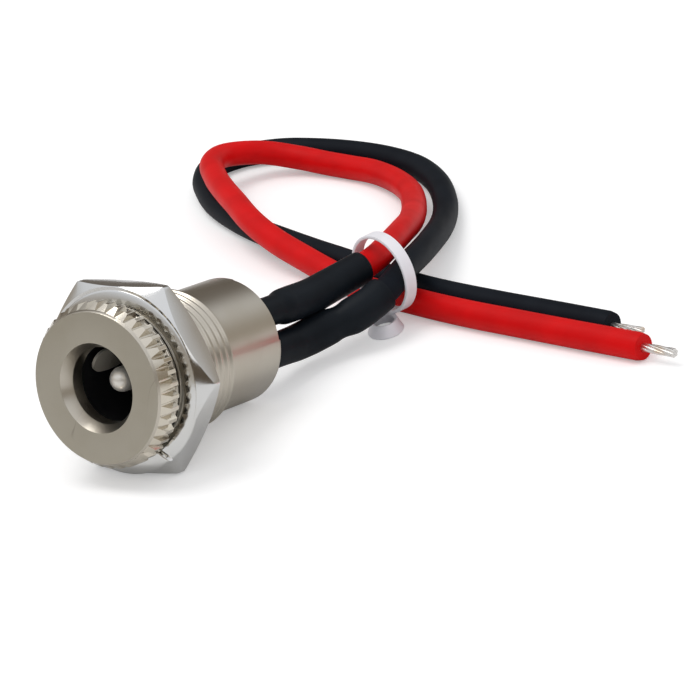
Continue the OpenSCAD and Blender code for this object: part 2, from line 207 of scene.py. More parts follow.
# %% [markdown]
# ## Routes of the leads
#
# The leads leave the jack one over the other, pass through the ring of the tie, make one
# loose loop on the surface and come back just behind the ring. Each point is [x, y, height
# over the surface] in millimetres. The list repeats the part's source, but for the first four
# points of the red lead, which lie a little lower. A Catmull-Rom spline passes through every
# point, so a few points make a smooth run.
# %% Route points
red_points = [
    [2.2, 24.8, 5.55], [2.5, 27.2, 5.5], [2.9, 29.2, 5.55], [3.4, 31.2, 5.65], [3.3, 33.6, 5.6],
    [2.2, 37.2, 5.2], [0.2, 42.2, 4.4], [-2.3, 47.3, 3.3], [-5.7, 52.8, 2.3], [-9.4, 57.6, 1.7],
    [-13.4, 61, 1.4], [-17.3, 63.1, 1.3], [-21, 64.2, 1.2], [-24.4, 64.8, 1.3],
    [-27.6, 64.9, 1.7], [-31.2, 63.6, 2.6], [-33.2, 60.5, 3.4], [-32.3, 57.2, 3.8],
    [-29.6, 54, 3.8], [-26.4, 51, 3.8], [-22.8, 48, 3.7], [-19.3, 45.2, 3.4], [-16.6, 43.5, 3],
    [-13.8, 42.1, 2.5], [-9.8, 40.4, 1.9], [-6.4, 38.9, 1.5], [-2.4, 37.1, 1.2], [1.4, 35.7, 1.2],
    [4.8, 34.8, 1.2], [9.2, 33.6, 1.2], [13.4, 32.6, 1.2], [18.4, 31.6, 1.2], [23.4, 30.6, 1.2],
    [32.3, 28.9, 1.2]]
black_points = [
    [2.7, 23, 2.6], [3.6, 24.8, 2.8], [4.8, 26.3, 3.1], [5.8, 27.8, 3.6], [6.4, 29.6, 4.1],
    [6.2, 32.2, 4.4], [5.2, 35.4, 4.2], [3.5, 40.1, 3.5], [1.3, 45.2, 2.6], [-0.8, 49.6, 1.8],
    [-3, 53.7, 1.3], [-5.4, 57.4, 1.2], [-9, 61.6, 1.2], [-13.4, 65, 1.2], [-18.2, 67, 1.2],
    [-22.9, 68, 1.2], [-27.7, 68.3, 1.2], [-32, 67.8, 1.2], [-35.5, 65.7, 1.2],
    [-36.7, 62.4, 1.2], [-35.2, 59, 1.2], [-32.6, 56, 1.2], [-29.3, 53, 1.2], [-24.8, 50, 1.2],
    [-20.4, 47.6, 1.2], [-15.8, 45.6, 1.2], [-10.9, 43.6, 1.2], [-6.2, 41.8, 1.2],
    [-0.8, 39.5, 1.2], [4.6, 37.5, 1.2], [8.6, 36.4, 1.2], [14.6, 35.1, 1.2], [21.3, 33.8, 1.2],
    [27.2, 32.6, 1.2]]


def in_jack(right, up, along):
    """A place in the jack's own frame as a place in the model's frame, all in mm."""
    return np.array((right, 0, 0)) + up * np.array(jack_up) + along * np.array(jack_axis)


def over_floor(point):
    """A place given by its height over the floor, in the model's frame."""
    return np.array(point) + (0, 0, floor_z / MM)


rear_end = 16.2
red_exit, black_exit = (1.9, 1.88), (2.4, -1.45)


def route(exit_place, starts, points):
    """Stretches along the jack's axis, then places over the floor."""
    return [in_jack(*exit_place, rear_end + s) for s in starts] + [over_floor(p) for p in points]


lead_starts = (5, 5.8)
red_route = route(red_exit, lead_starts, red_points)
black_route = route(black_exit, lead_starts, black_points)

# %% [markdown]
# ## Sweeping a section along a run
#
# A curve object with a bevel could make these tubes too. Rows of points written straight
# into a mesh also carry a UV map whose V is the true distance along the lead, and the same
# helper skins the leads, the sleeves, the turned parts, the washer and the tie.
# %% Spline and sweep helpers


def spline(points, step=0.5):
    """Points about step mm apart on the centripetal Catmull-Rom curve through the given ones."""
    p = np.array(points, float)
    p = np.vstack([2 * p[0] - p[1], p, 2 * p[-1] - p[-2]])
    run = []
    for a, b, c, d in zip(p, p[1:], p[2:], p[3:]):
        t1 = np.linalg.norm(b - a) ** 0.5
        t2 = t1 + np.linalg.norm(c - b) ** 0.5
        t3 = t2 + np.linalg.norm(d - c) ** 0.5
        count = max(2, round(np.linalg.norm(c - b) / step))
        for t in t1 + (t2 - t1) * np.arange(count) / count:
            ab, bc, cd = (a + (b - a) * t / t1, b + (c - b) * (t - t1) / (t2 - t1),
                          c + (d - c) * (t - t2) / (t3 - t2))
            abc, bcd = ab + (bc - ab) * t / t2, bc + (cd - bc) * (t - t1) / (t3 - t1)
            run.append(abc + (bcd - abc) * (t - t1) / (t2 - t1))
    return np.array(run + [p[-2]])


def along_run(run):
    """Distance from the start at each point of a run."""
    return np.concatenate([[0], np.cumsum(np.linalg.norm(np.diff(run, axis=0), axis=1))])


def frames(run):
    """Two directions across the run at each point, carried along it without twist."""
    heading = np.gradient(run, axis=0)
    heading /= np.linalg.norm(heading, axis=1)[:, None]
    across = []
    last = np.array((0, 0, 1.0))
    for h in heading:
        last = last - h * last.dot(h)
        last /= np.linalg.norm(last)
        across.append(last)
    across = np.array(across)
    return across, np.cross(heading, across)


def skin(name, rows, loop=False, uv=None, sharp=35):
    """A mesh over closed rows of points in mm. loop joins the last row to the first.

    uv gives each row's distance along the piece, and sharp is the angle of a sharp edge.
    """
    rows = np.array(rows, float)
    count, around = rows.shape[:2]
    index = np.arange(count * around).reshape(count, around)
    low = index if loop else index[:-1]
    high = np.roll(index, -1, 0) if loop else index[1:]
    faces = np.stack([low, np.roll(low, -1, 1), np.roll(high, -1, 1), high], -1)
    faces = [list(map(int, f)) for f in faces.reshape(-1, 4)]
    if not loop:
        faces += [[int(i) for i in index[0][::-1]], [int(i) for i in index[-1]]]
    mesh = bpy.data.meshes.new(name)
    mesh.from_pydata([tuple(p) for p in rows.reshape(-1, 3) * MM], [], faces)
    if uv is not None:
        layer = mesh.uv_layers.new(name="UVMap")
        for poly in mesh.polygons:
            corners = [divmod(v, around) for v in poly.vertices]
            wraps = {c for _, c in corners} >= {0, around - 1} and len(corners) == 4
            for loop_index, (row, column) in zip(poly.loop_indices, corners):
                turn_part = 1 if wraps and column == 0 else column / around
                layer.data[loop_index].uv = (turn_part, uv[row] * MM)
    mesh.shade_smooth()
    mesh.set_sharp_from_angle(angle=math.radians(sharp))
    piece = bpy.data.objects.new(name, mesh)
    bpy.context.collection.objects.link(piece)
    return piece


def tube(name, run, radius, sides=28, inner=None):
    """A round tube along a run. radius is one number or one per point, and inner makes it hollow."""
    across, up = frames(run)
    angles = 2 * np.pi * np.arange(sides) / sides
    radius = np.broadcast_to(radius, len(run)).astype(float)

    def ring(i, r):
        return run[i] + r * (np.cos(angles)[:, None] * across[i] + np.sin(angles)[:, None] * up[i])

    rows = [ring(i, radius[i]) for i in range(len(run))]
    distance = list(along_run(run))
    if inner is not None:
        inner = np.broadcast_to(inner, len(run))
        rows += [ring(i, inner[i]) for i in reversed(range(len(run)))]
        distance += distance[::-1]
    return skin(name, rows, loop=inner is not None, uv=distance)


# %% [markdown]
# ## The two leads
#
# Each lead is PVC insulation over a stranded core. The sweep has no twist of its own, so
# the ripple that the strands press into the insulation winds evenly round the lead. The last
# ring is drawn in a little, because a stripped edge is never quite sharp.
# %% Leads and their lengths
wire_r = 1.2


def lead(name, places):
    run = spline(places)
    radius = np.full(len(run), wire_r)
    radius[-1] -= 0.1
    return tube(name, run, radius), run


red_lead, red_run = lead("red_lead", red_route)
black_lead, black_run = lead("black_lead", black_route)
for name, run in (("red", red_run), ("black", black_run)):
    print(name, "lead is", round(along_run(run)[-1], 1), "mm long")

# %% [markdown]
# ## Shrink sleeves
#
# A black sleeve covers each solder joint. It was shrunk over a lug, a bulge of solder and
# then the insulation, so its outside is a soft record of what is under it. Each station is
# a distance along the sleeve and the radius there, and they are joined smoothly.
# %% Sleeves
sleeve_inner, sleeve_thinnest = wire_r + 0.05, 0.1


def sleeve(name, exit_place, points, stations):
    run = spline(route(exit_place, (0.4, 1.4, 2.6) + lead_starts, points), 0.2)
    distance = along_run(run)
    places, radii = zip(*stations)
    knots = np.linspace(0, distance[-1], 70)
    soft = np.convolve(np.pad(np.interp(knots, places, radii), 1, "edge"), [0.25, 0.5, 0.25], "valid")
    radius = np.interp(distance, knots, soft)
    radius[[0, -1]] -= 0.05
    inside = np.minimum(sleeve_inner, radius - sleeve_thinnest)
    return tube(name, run, radius, sides=40, inner=inside), run


red_sleeve, red_sleeve_run = sleeve(
    "red_shrink_sleeve", red_exit, red_points[:4],
    [(0, 1.3), (3.6, 1.3), (4.5, 1.56), (6, 1.58), (9, 1.56), (13, 1.5), (30, 1.5)])
black_sleeve, black_sleeve_run = sleeve(
    "black_shrink_sleeve", black_exit, black_points[:5],
    [(0, 1.5), (3, 1.5), (5, 1.56), (7, 1.62), (8.6, 1.6), (9.4, 1.55), (9.9, 1.42), (10.4, 1.44),
     (11.2, 1.62), (12.2, 1.6), (13.4, 1.55), (30, 1.54)])
print("sleeves are", [round(along_run(r)[-1], 1) for r in (red_sleeve_run, black_sleeve_run)], "mm long")

# %% [markdown]
# ## Node trees as Python expressions
#
# Geometry and shader trees share their maths nodes. This small class wraps a socket, so an
# ordinary expression such as 1 - mask * 0.5 adds the nodes that it needs.
# %% Socket and tree wrappers


class Value:
    """A node's output that takes part in Python expressions."""

    def __init__(self, tree, socket):
        self.tree, self.socket = tree, socket

    def maths(self, operation, *values):
        return self.tree.add("ShaderNodeMath", {"operation": operation}, dict(enumerate(values)))

    def __add__(self, other): return self.maths("ADD", self, other)
    def __radd__(self, other): return self.maths("ADD", other, self)
    def __sub__(self, other): return self.maths("SUBTRACT", self, other)
    def __rsub__(self, other): return self.maths("SUBTRACT", other, self)
    def __mul__(self, other): return self.maths("MULTIPLY", self, other)
    def __rmul__(self, other): return self.maths("MULTIPLY", other, self)
    def __truediv__(self, other): return self.maths("DIVIDE", self, other)
    def __pow__(self, other): return self.maths("POWER", self, other)
    def __gt__(self, other): return self.maths("GREATER_THAN", self, other)
    def __lt__(self, other): return self.maths("LESS_THAN", self, other)
    def __abs__(self): return self.maths("ABSOLUTE", self)

    def ease(self, low, high):
        """0 below low, 1 above high and smooth between."""
        return self.tree.add("ShaderNodeMapRange", {"interpolation_type": "SMOOTHSTEP"},
                             {"Value": self, "From Min": low, "From Max": high})


class Tree:
    """A node tree with one method that adds any node."""

    def __init__(self, tree):
        self.tree = tree

    def add(self, kind, settings={}, sockets={}, out=0):
        node = self.tree.nodes.new(kind)
        for name, value in settings.items():
            if name == "stops":
                ramp = node.color_ramp.elements
                ramp[0].position, ramp[0].color = value[0]
                ramp[1].position, ramp[1].color = value[-1]
                for position, colour in value[1:-1]:
                    ramp.new(position).color = colour
            else:
                setattr(node, name, value)
        for key, value in sockets.items():
            if isinstance(value, Value):
                self.tree.links.new(value.socket, node.inputs[key])
            else:
                node.inputs[key].default_value = value
        return Value(self, node.outputs[out]) if len(node.outputs) else node

    def mix(self, mask, a, b):
        """Colour a where the mask is 0 and colour b where it is 1."""
        return self.add("ShaderNodeMix", {"data_type": "RGBA"}, {0: mask, 6: a, 7: b}, out=2)

    def dot(self, vector, direction):
        return self.add("ShaderNodeVectorMath", {"operation": "DOT_PRODUCT"},
                        {0: vector, 1: tuple(direction)}, out="Value")

    def stretch(self, vector, factors):
        return self.add("ShaderNodeVectorMath", {"operation": "MULTIPLY"},
                        {0: vector, 1: tuple(factors)})

    def noise(self, vector, scale, detail=2.0):
        return self.add("ShaderNodeTexNoise", {}, {
            "Vector": vector, "Scale": scale, "Detail": detail, "Roughness": 0.5})

    def bump(self, height, distance):
        return self.add("ShaderNodeBump", {}, {
            "Height": height, "Distance": distance, "Strength": 1.0})


def material(name, build):
    """A material whose surface is what build(tree) returns."""
    made = bpy.data.materials.new(name)
    made.use_nodes = True
    made.node_tree.nodes.clear()
    tree = Tree(made.node_tree)
    tree.add("ShaderNodeOutputMaterial", {}, {"Surface": build(tree)})
    return made


# %% [markdown]
# ## Nickel plate
#
# Nickel is a slightly warm grey metal. The front face is satin, with fine rings round the
# axis and a few hairline scratches. The skirt and the thread are smoother from turning, and
# the knurl is brighter still, because its teeth were rolled in. The nut and the washer were
# polished and mirror their surroundings. The pin and the tinned sheet lie deep in a dark
# opening, where pure metal would mirror nothing but black, so they are only partly metallic.
# All share one recipe, which reads how far the surface lies along and from the jack's axis.
# %% Metal recipe


dull_share = (0.82, 0.78, 0.7)
scratch_colour = (0.16, 0.14, 0.12, 1)


def nickel(name, colour, roughness, rings=0.0, grain=0.0, scratches=0.0, tarnish=0.25, metallic=1.0):
    """A plated finish. rings, grain and scratches are relief, and tarnish is how far it dulls."""
    def build(t):
        place = t.add("ShaderNodeTexCoord", out="Object")
        right = t.dot(place, (1, 0, 0))
        up = t.dot(place, jack_up)
        along = t.dot(place, jack_axis)
        radius = (right * right + up * up) ** 0.5
        ring_noise = t.add("ShaderNodeTexNoise", {"noise_dimensions": "1D"},
                           {"W": (radius + along) * 9000, "Scale": 1.0, "Detail": 3.0})
        cloud = t.noise(place, 260, 3)
        fine = t.noise(place, 5200, 2)
        scratch_field = t.noise(t.stretch(place, (1.0, 0.6, 0.35)), 330, 0.5)
        hairline = (1 - abs(scratch_field - 0.5).ease(0.0008, 0.0035)) * t.noise(place, 190).ease(0.5, 0.6)
        dull = tuple(c * k for c, k in zip(colour, dull_share)) + (1,)
        base = t.mix(cloud.ease(0.35, 0.75) * tarnish, colour + (1,), dull)
        base = t.mix(hairline * 0.35 * min(scratches, 1), base, scratch_colour)
        height = ring_noise * rings + fine * grain - hairline * scratches * 2
        return t.add("ShaderNodeBsdfPrincipled", {}, {
            "Base Color": base, "Metallic": metallic,
            "Roughness": roughness * (0.8 + cloud * 0.4) + hairline * 0.1 * scratches,
            "Normal": t.bump(height, 0.000004)})
    return material(name, build)


satin_nickel = nickel("satin_nickel", (0.44, 0.41, 0.345), 0.42, rings=0.15, grain=1.0, scratches=1.0)
turned_nickel = nickel("turned_nickel", (0.56, 0.52, 0.45), 0.3, rings=0.4, grain=0.5, scratches=0.3)
edge_nickel = nickel("edge_nickel", (0.68, 0.63, 0.54), 0.16, grain=0.3, tarnish=0.35)
polished_nickel = nickel("polished_nickel", (0.7, 0.7, 0.69), 0.13, grain=0.3, scratches=0.3, tarnish=0.2)
pin_nickel = nickel("pin_nickel", (0.85, 0.82, 0.76), 0.34, grain=0.4, metallic=0.55)
tinned_sheet = nickel("tinned_sheet", (0.5, 0.47, 0.41), 0.4, grain=1.5, metallic=0.5)

# %% [markdown]
# ## Solder and tinned strands
#
# Solder is softer and duller than nickel, with a wavy skin. Tinned copper strands look much
# the same, a little warmer where the tin is thin.
# %% Solder and strand finishes


def tin(name, colour, warm, roughness, lumps):
    """A soft tin skin. warm is the colour where it is thin, and lumps the height of its waves."""
    def build(t):
        place = t.add("ShaderNodeTexCoord", out="Object")
        patch = t.noise(place, 900, 3)
        return t.add("ShaderNodeBsdfPrincipled", {}, {
            "Base Color": t.mix(patch.ease(0.5, 0.72), colour, warm), "Metallic": 1.0,
            "Roughness": roughness * (0.7 + patch * 0.6),
            "Normal": t.bump(t.noise(place, 2200, 3), lumps)})
    return material(name, build)


solder = tin("solder", (0.66, 0.66, 0.67, 1), (0.5, 0.49, 0.47, 1), 0.32, 0.00003)
strand_tin = tin("strand_tin", (0.8, 0.78, 0.75, 1), (0.72, 0.6, 0.48, 1), 0.3, 0.00001)

# %% [markdown]
# ## Mouldings, sleeves and insulation
#
# The mouldings are a matt black nylon. The shrink sleeves are a bluish black with a fine
# skin and faint wrinkles. PVC insulation is as soft in its shine, and the strands under it
# show as a slow ripple that winds round the lead, so it reads the lead's own UV map. The
# specular level of each is low, because dark plastic looks grey under a bright sky.
# %% Plastic finishes


def plastic(name, colour, shade, roughness, speck, shine=0.3):
    """A moulded finish with two close colours, a fine speck and a given shine."""
    def build(t):
        place = t.add("ShaderNodeTexCoord", out="Object")
        patch = t.noise(place, 420, 3)
        return t.add("ShaderNodeBsdfPrincipled", {}, {
            "Base Color": t.mix(patch.ease(0.4, 0.7), colour, shade),
            "Roughness": roughness * (0.85 + patch * 0.3),
            "Specular IOR Level": shine, "Normal": t.bump(t.noise(place, 7000, 3), speck)})
    return material(name, build)


strands_round, turns_per_metre = 7, 190


def on_lead(name, colour, shade, roughness, ripple, wrinkle, shine):
    """A finish that follows a lead: U goes once round it and V runs along it in metres."""
    def build(t):
        place = t.add("ShaderNodeTexCoord", out="Object")
        uv = t.add("ShaderNodeTexCoord", out="UV")
        split = t.add("ShaderNodeSeparateXYZ", {}, {"Vector": uv})
        length = Value(t, split.socket.node.outputs["Y"])
        twist = (split * strands_round + length * turns_per_metre) * 2 * math.pi
        strands = twist.maths("SINE", twist)
        folds = t.noise(t.stretch(uv, (7.0, 120.0, 1.0)), 1.6, 3)
        patch = t.noise(place, 240, 3)
        fine = t.noise(place, 5200, 2)
        height = strands * ripple + folds * wrinkle + fine * 0.12
        return t.add("ShaderNodeBsdfPrincipled", {}, {
            "Base Color": t.mix(patch.ease(0.35, 0.7), colour, shade),
            "Roughness": roughness * (0.85 + patch * 0.3),
            "Specular IOR Level": shine, "Normal": t.bump(height, 0.00001)})
    return material(name, build)


black_nylon = plastic("black_nylon", (0.008, 0.008, 0.009, 1), (0.013, 0.013, 0.014, 1), 0.5, 0.000004, 0.15)
shrink_black = on_lead(
    "shrink_black", (0.005, 0.007, 0.010, 1), (0.008, 0.011, 0.015, 1), 0.45, 0.0, 1.2, shine=0.1)
red_pvc = on_lead("red_pvc", (0.68, 0.003, 0.004, 1), (0.58, 0.003, 0.004, 1), 0.45, 0.3, 0.3, shine=0.1)
black_pvc = on_lead(
    "black_pvc", (0.006, 0.008, 0.012, 1), (0.009, 0.012, 0.017, 1), 0.5, 0.3, 0.3, shine=0.06)
tie_white = plastic("tie_white", (0.84, 0.83, 0.87, 1), (0.78, 0.76, 0.79, 1), 0.45, 0.00001)


def dress(piece, finish):
    """Gives a whole piece one material."""
    piece.data.materials.clear()
    piece.data.materials.append(finish)


for piece, finish in ((red_lead, red_pvc), (black_lead, black_pvc),
                      (red_sleeve, shrink_black), (black_sleeve, shrink_black)):
    dress(piece, finish)

# %% [markdown]
# ## The turned housing
#
# The housing was turned from bar. A profile in [radius, distance along the axis] is carried
# round the axis, as a lathe does it. Corners carry a small fillet, because no real edge is
# perfectly sharp and the fillets catch the light. The profile may change with the angle,
# which makes the step in the rear rim and, later, the six flats of the nut. Angles run from
# the jack's right side downwards.
# %% Lathe helpers


def filleted(corners, steps=4):
    """A closed profile from [radius, along, fillet] corners."""
    points = []
    for i, (r, u, size) in enumerate(corners):
        here = np.array((r, u), float)
        before = np.array(corners[i - 1][:2], float) - here
        after = np.array(corners[(i + 1) % len(corners)][:2], float) - here
        if not size:
            points += [here] * (steps + 1)
            continue
        before /= np.linalg.norm(before)
        after /= np.linalg.norm(after)
        reach = size / math.tan(math.acos(np.clip(before.dot(after), -0.9999, 0.9999)) / 2)
        for t in np.linspace(0, 1, steps + 1):
            points.append(here + (1 - t) ** 2 * reach * before + t ** 2 * reach * after)
    return np.array(points)


def turned(name, profile_at, around=256, loop=True, sharp=30):
    """Carries profile_at(angle), a list of [radius, along], round the jack's axis."""
    angles = 2 * np.pi * np.arange(around) / around
    table = np.array([profile_at(a) for a in angles])
    r, u = table[..., 0], table[..., 1]
    local = np.stack([r * np.cos(angles)[:, None], r * np.sin(angles)[:, None], u], -1)
    piece = skin(name, (local @ turn.T).transpose(1, 0, 2), loop=loop, sharp=sharp)
    merge = piece.modifiers.new("merge", "WELD")
    merge.merge_threshold = 0.000002
    return baked(piece)


def baked(piece):
    """The piece with its modifiers applied, as a plain mesh."""
    evaluated = piece.evaluated_get(bpy.context.evaluated_depsgraph_get())
    mesh = bpy.data.meshes.new_from_object(evaluated)
    piece.modifiers.clear()
    piece.data = mesh
    return piece


# %% Housing
thread_len, skirt_r, cavity_r = 9.3, 5.4, 4.7
rim_step = 0.45
body_r = 5.38
flange_front, face_r, root_r, bevel_slope = -2, 6.3, 6.45, 1.6
root_along = flange_front + (root_r - face_r) * bevel_slope
housing_corners = [
    (3.75, flange_front, 0.04), (face_r, flange_front, 0.04), (root_r, root_along, 0),
    (root_r, -0.02, 0), (body_r, -0.02, 0),
    (body_r, thread_len, 0), (skirt_r, thread_len, 0), (skirt_r, rear_end, 0.45),
    (4.5, rear_end, 0.08), (4.5, rear_end - rim_step, 0), (cavity_r, rear_end - rim_step, 0),
    (cavity_r, 0.2, 0), (3.2, 0.2, 0.05), (3.2, -1, 0.06)]
housing_profile = filleted(housing_corners, steps=6)
step_from, step_to = 3, 81  # degrees


def housing_at(angle):
    """The profile, with the rim lower over the step's stretch above the jack's right side."""
    height = -math.degrees(angle if angle < math.pi else angle - 2 * math.pi)
    inside = min(np.clip((height - step_from) / 2, 0, 1), np.clip((step_to - height) / 2, 0, 1))
    profile = housing_profile.copy()
    limit = rear_end - rim_step * inside
    profile[:, 1] = np.minimum(profile[:, 1], limit)
    return profile


housing_piece = turned("turned_housing", housing_at, around=360)
dress(housing_piece, satin_nickel)
housing_piece.data.materials.append(turned_nickel)
for poly in housing_piece.data.polygons:
    if Vector(poly.center).dot(jack_axis) > (flange_front + 0.03) * MM:
        poly.material_index = 1
print("housing has", len(housing_piece.data.polygons), "faces")

# %% [markdown]
# ## Knurl and thread with Geometry Nodes
#
# Both are rules, not drawings: the radius goes up and down with the angle for the knurl, and
# with the angle and the distance along the axis for the thread. A flat grid is rolled up
# round the axis, and each point gets its radius from that rule, so the number of teeth or
# the pitch stays one input. The bevel behind the face cuts the teeth off at a slope, so each
# crest begins further back than the groove beside it.
# %% Tree helper


def geometry_tree(name, inputs):
    """A new Geometry Nodes tree with number inputs, their values and its wrapper."""
    group = bpy.data.node_groups.new(name, "GeometryNodeTree")
    group.interface.new_socket("Geometry", in_out="OUTPUT", socket_type="NodeSocketGeometry")
    group.interface.new_socket("Geometry", in_out="INPUT", socket_type="NodeSocketGeometry")
    for label, value in inputs.items():
        kind = "NodeSocketInt" if isinstance(value, int) else "NodeSocketFloat"
        group.interface.new_socket(label, in_out="INPUT", socket_type=kind).default_value = value
    tree = Tree(group)
    source = group.nodes.new("NodeGroupInput")
    values = {label: Value(tree, source.outputs[label]) for label in inputs}
    return tree, values


def rolled(tree, grid, radius, angle, along, finish):
    """Ends a tree: the grid's points go to [radius, angle, along], laid down with the jack."""
    cosine, sine = angle.maths("COSINE", angle), angle.maths("SINE", angle)
    x, y = radius * cosine, radius * sine
    upright = tree.add("ShaderNodeCombineXYZ", {}, {"X": x, "Y": y, "Z": along})
    placed = tree.add("ShaderNodeVectorRotate", {"rotation_type": "X_AXIS"},
                      {"Vector": upright, "Angle": -(math.pi / 2 + tilt)})
    moved = tree.add("GeometryNodeSetPosition", {}, {"Geometry": grid, "Position": placed})
    closed = tree.add("GeometryNodeMergeByDistance", {}, {"Geometry": moved, "Distance": 0.000002})
    real = tree.add("GeometryNodeRealizeInstances", {}, {"Geometry": closed})
    shown = tree.add("GeometryNodeSetMaterial", {}, {"Geometry": real, "Material": finish})
    tree.add("NodeGroupOutput", {}, {"Geometry": shown})


def grown(name, tree, values, sharp):
    """Runs a tree on an empty mesh and returns the result as a plain piece."""
    mesh = bpy.data.meshes.new(name)
    piece = bpy.data.objects.new(name, mesh)
    bpy.context.collection.objects.link(piece)
    modifier = piece.modifiers.new("rule", "NODES")
    modifier.node_group = tree.tree
    for item in tree.tree.interface.items_tree:
        if item.name in values:
            modifier[item.identifier] = values[item.name]
    baked(piece)
    piece.data.shade_smooth()
    piece.data.set_sharp_from_angle(angle=math.radians(sharp))
    print(name, "has", len(piece.data.polygons), "faces")
    return piece


def rolling_grid(tree, columns, rows):
    """A unit grid, with how far each point is round and along it."""
    grid = tree.add("GeometryNodeMeshGrid", {}, {"Size X": 1.0, "Size Y": 1.0,
                    "Vertices X": columns, "Vertices Y": rows})
    spot = tree.add("ShaderNodeSeparateXYZ", {}, {"Vector": tree.add("GeometryNodeInputPosition")})
    outputs = spot.socket.node.outputs
    return grid, Value(tree, outputs["X"]) + 0.5, Value(tree, outputs["Y"]) + 0.5


# %% Knurled edge of the flange
teeth = 42
knurl_sizes = {"Teeth": teeth, "Depth": 0.47 * MM, "Outer radius": 6.92 * MM}
knurl_tree, sizes = geometry_tree("knurl_rule", knurl_sizes)
grid, round_part, row = rolling_grid(knurl_tree, teeth * 24 + 1, 4)
tooth = (round_part * sizes["Teeth"]).maths("PINGPONG", round_part * sizes["Teeth"], 0.5) * 2
tooth = (tooth * 1.9 - 0.3).maths("MAXIMUM", tooth * 1.9 - 0.3, 0.0)
tooth = tooth.maths("MINIMUM", tooth, 1.0)
flank_r = sizes["Outer radius"] - sizes["Depth"] * (1 - tooth)
is_flank = (row > 0.1) * (row < 0.9)
knurl_r = root_r * MM + (flank_r - root_r * MM) * is_flank
bevel_along = flange_front * MM + (knurl_r - face_r * MM) * bevel_slope
knurl_along = bevel_along * (row < 0.5)
rolled(knurl_tree, grid, knurl_r, round_part * 2 * math.pi, knurl_along, edge_nickel)
knurl = grown("flange_knurl", knurl_tree, knurl_sizes, 20)

# %% Thread of the barrel
thread_sizes = {"Pitch": 0.75 * MM, "Depth": 0.24 * MM, "Outer radius": 6 * MM, "Length": thread_len * MM}
thread_tree, sizes = geometry_tree("thread_rule", thread_sizes)
grid, round_part, row = rolling_grid(thread_tree, 193, 200)
thread_along = row * sizes["Length"]
phase = thread_along / sizes["Pitch"] - round_part
crest = phase.maths("PINGPONG", phase, 0.5) * 2
crest = (crest * 1.35 - 0.15).ease(0.0, 1.0)
chamfer = sizes["Length"] - thread_along + sizes["Outer radius"] - 0.6 * MM
thread_r = sizes["Outer radius"] - sizes["Depth"] * (1 - crest)
thread_r = thread_r.maths("MINIMUM", thread_r, chamfer)
rolled(thread_tree, grid, thread_r, round_part * 2 * math.pi, thread_along, turned_nickel)
thread = grown("barrel_thread", thread_tree, thread_sizes, 40)

# %% [markdown]
# ## The hex nut
#
# A hex nut is a six-sided bar whose corners were turned off on a cone at both ends. In the
# lathe's terms the radius of its side changes with the angle, and each cone meets it further
# in at the corners than at the flats. Those crossings draw the curved edges of the flats. A
# high-power mean of the six flats gives the corners a soft edge. The front of the nut is kept
# back a little, to leave room for the washer.
# %% Nut
nut_half, nut_front, nut_back = 7.75, 1.2, 3.6
nut_bore, nut_face_r = 6.08, 7.7
front_slope, back_slope, soft_edge = 0.8, 0.65, 0.035


def nut_at(angle):
    flats = np.maximum(np.cos(angle - np.radians(np.arange(30, 390, 60))), 0)
    side_r = nut_half / (flats ** 130).sum() ** (1 / 130)
    cut = side_r - nut_half
    return filleted([
        (nut_bore, nut_front, 0), (nut_face_r, nut_front, 0),
        (side_r, nut_front + 0.04 + cut * front_slope, soft_edge),
        (side_r, nut_back - cut * back_slope, soft_edge), (nut_face_r, nut_back, 0),
        (6.4, nut_back, 0.03), (nut_bore, nut_back - 0.3, 0)], steps=3)


nut = turned("hex_nut", nut_at, around=480, sharp=28)
dress(nut, polished_nickel)

# %% [markdown]
# ## The lock washer
#
# A split ring of flat wire lies on the front of the nut. Its two ends stand a little apart
# along the axis, so that it bites when the nut is tightened. It is loose on the thread and
# hangs a little low. The section is a little dished, so its face mirrors the knurl in front
# of it. It is carried round the axis on a slow screw line, and the ends are cut at a slant.
# %% Washer
washer_in, washer_out, washer_t = 6.5, 7.68, 0.3
washer_front, washer_rise, washer_gap, washer_cut = 0.8, 0.22, 3.0, math.radians(57)
washer_shift = np.array((0.1, 0.2))
washer_section = [(washer_in, 0), (washer_in, washer_t), (washer_out - 0.08, washer_t + 0.14),
                  (washer_out, washer_t + 0.08), (washer_out, 0.31), (washer_out - 0.07, 0.23),
                  (washer_out - 0.2, 0.18), (washer_in + 0.4, 0.06)]


def washer_row(part):
    """The section at a share of the way round, from the front end to the rear end."""
    row = []
    for radius, along in washer_section:
        slant = math.radians(2.5 * (along / washer_t - 0.5) + 1.5 * (radius - washer_in))
        angle = washer_cut + part * (2 * math.pi - math.radians(washer_gap)) - slant
        x, y = radius * math.cos(angle) + washer_shift[0], radius * math.sin(angle) + washer_shift[1]
        row.append(turn @ (x, y, washer_front + washer_rise * part + along))
    return row


washer = skin("lock_washer", [washer_row(part) for part in np.linspace(0, 1, 240)], sharp=50)
dress(washer, polished_nickel)

# %% [markdown]
# ## The centre pin
#
# The pin has a full round nose, so the same lathe makes it with a quarter circle in its
# profile. Behind the collar that seats it in the insulator, a thinner tail ends in a rivet.
# %% Pin
pin_r, pin_tip = 1.05, 0.4
nose = [(pin_r * math.sin(a) + 0.0005, pin_tip + pin_r * (1 - math.cos(a)))
        for a in np.linspace(0, math.pi / 2, 12)]
collar_r, tail_r, rivet_r = pin_r + 0.5, 0.7, 1.4
tail = [(pin_r, 8.6), (collar_r, 8.6), (collar_r, 9), (tail_r, 9), (tail_r, 11.5),
        (rivet_r, 11.5), (rivet_r, 11.9)]
pin = turned("contact_pin", lambda a: np.array(nose + tail), around=64, loop=False)
dress(pin, pin_nickel)

# %% [markdown]
# ## Bared ends
#
# The outer ends are stripped and tinned: a few strands lie in a slow twist. A tree puts a
# copy of one straight strand at each point of a small ring and one in its middle, and then
# turns every point about the bundle's axis by an angle that grows along it. The red end is
# one bundle, and the black end has splayed into a fork of two.
# %% Strand rule


